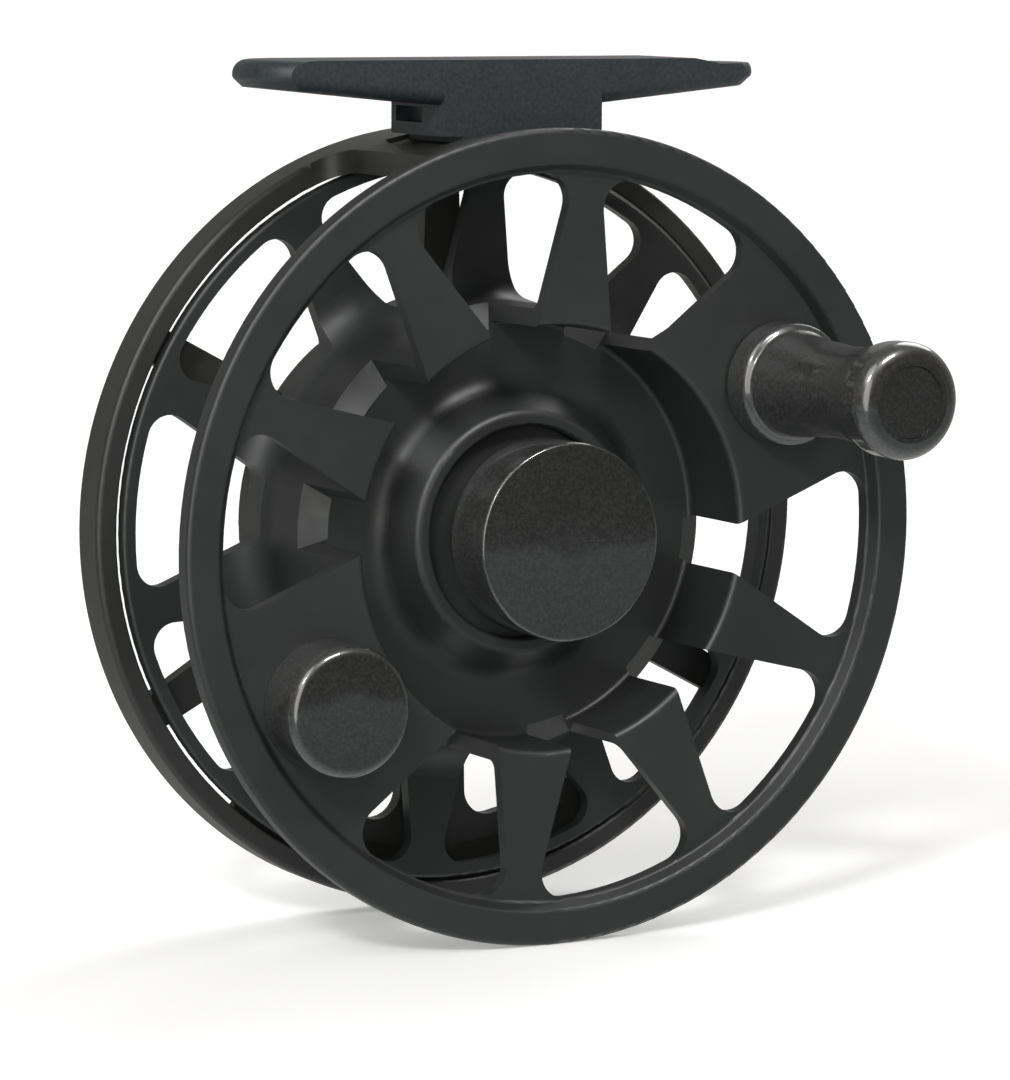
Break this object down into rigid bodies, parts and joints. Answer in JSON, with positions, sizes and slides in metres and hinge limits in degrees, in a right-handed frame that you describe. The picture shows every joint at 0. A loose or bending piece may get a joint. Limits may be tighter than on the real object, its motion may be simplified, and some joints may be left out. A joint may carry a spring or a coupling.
{
  "type": "fly reel",
  "caption": "Large-arbor fly fishing reel: ported spool with hourglass handle and counterweight in a half frame with rod foot, disc drag knob and clicker.",
  "frame": {"origin": "on the foot's flat seat face, where the rod's reel seat bears, straight above the spool axis and at the middle of the foot's width; the foot reaches 31.7 mm one way and 30.7 mm the other", "axes": "+Z out of the seat face towards the rod, +X along the foot and the rod, -Y towards the handle side; the spool axis runs along Y, 51.65 mm below the seat"},
  "size_m": [0.089, 0.0634, 0.0961],
  "materials": {
    "spool_alloy": "satin black anodised",
    "frame_alloy": "satin black anodised",
    "foot_alloy": "satin dark grey anodised, fine bead-blasted grain",
    "knob_alloy": "satin black anodised",
    "gloss_black": "gloss black, faint mottle",
    "steel": "stainless",
    "brass": "machined",
    "plain_alloy": "machined",
    "acetal": "matte",
    "seal_rubber": "matte",
    "drag_carbon": "woven carbon friction material"
  },
  "bodies": {
    "frame": {"frame": "frame_alloy", "reel_foot": "foot_alloy", "foot_screws": "steel", "spindle": "steel", "drag_cover": "plain_alloy", "drag_seal": "seal_rubber", "cover_circlip": "steel", "click_pivot": "steel", "click_spring": "steel"},
    "spool": {"spool": "spool_alloy", "spool_bearing": "steel", "hub_circlip": "steel", "roller_clutch": "steel", "click_gear": "brass", "counterweight": "gloss_black", "counterweight_screw": "steel", "handle_post": "steel", "handle_screw": "steel", "handle_washer": "acetal"},
    "handle": {"handle_knob": "gloss_black", "handle_bush": "brass", "handle_end_plug": "gloss_black"},
    "cap_carrier": {"cap_washer": "acetal"},
    "spool_cap": {"spool_cap": "gloss_black"},
    "drag_rotor": {"drag_rotor": "steel", "rotor_bush": "brass", "drag_disc_front": "drag_carbon", "drag_disc_rear": "drag_carbon"},
    "drag_thrust": {"drag_thrust_plate": "steel", "drag_springs": "steel", "thrust_pins": "steel", "thrust_ring": "steel"},
    "drag_knob": {"drag_knob": "knob_alloy", "knob_cover": "knob_alloy"},
    "click_pawl": {"click_pawl": "brass"}
  },
  "joints": [
    {"name": "spool_spin", "type": "hinge", "parent": "frame", "child": "spool", "pos_m": [0, -0.01455, -0.05165], "axis": [0, 1, 0], "continuous": true},
    {"name": "handle_spin", "type": "hinge", "parent": "spool", "child": "handle", "pos_m": [0.028, -0.01455, -0.03555], "axis": [0, 1, 0], "continuous": true},
    {"name": "cap_travel", "type": "slide", "parent": "frame", "child": "cap_carrier", "axis": [0, -1, 0], "range_m": [0, 0.001]},
    {"name": "cap_turn", "type": "hinge", "parent": "cap_carrier", "child": "spool_cap", "pos_m": [0, -0.01455, -0.05165], "axis": [0, -1, 0], "range_deg": [0, 361]},
    {"name": "drag_slip", "type": "hinge", "parent": "frame", "child": "drag_rotor", "pos_m": [0, 0.00945, -0.05165], "axis": [0, 1, 0], "continuous": true},
    {"name": "drag_press", "type": "slide", "parent": "frame", "child": "drag_thrust", "axis": [0, -1, 0], "range_m": [0, 0.0005625]},
    {"name": "drag_adjust", "type": "hinge", "parent": "drag_thrust", "child": "drag_knob", "pos_m": [0, 0.01845, -0.05165], "axis": [0, -1, 0], "range_deg": [0, 271]},
    {"name": "pawl_rock", "type": "hinge", "parent": "frame", "child": "click_pawl", "pos_m": [-0.0075, 0.0018, -0.03875], "axis": [0, -1, 0], "range_deg": [0, 6], "stiffness_Nm_per_rad": 0.004, "springref_deg": -5.73, "deforming": ["click_spring"]}
  ],
  "couplings": [
    {"joint": "cap_turn", "follows": "cap_travel", "rad_per_m": 6283.2},
    {"joint": "drag_adjust", "follows": "drag_press", "rad_per_m": 8377.6}
  ]
}
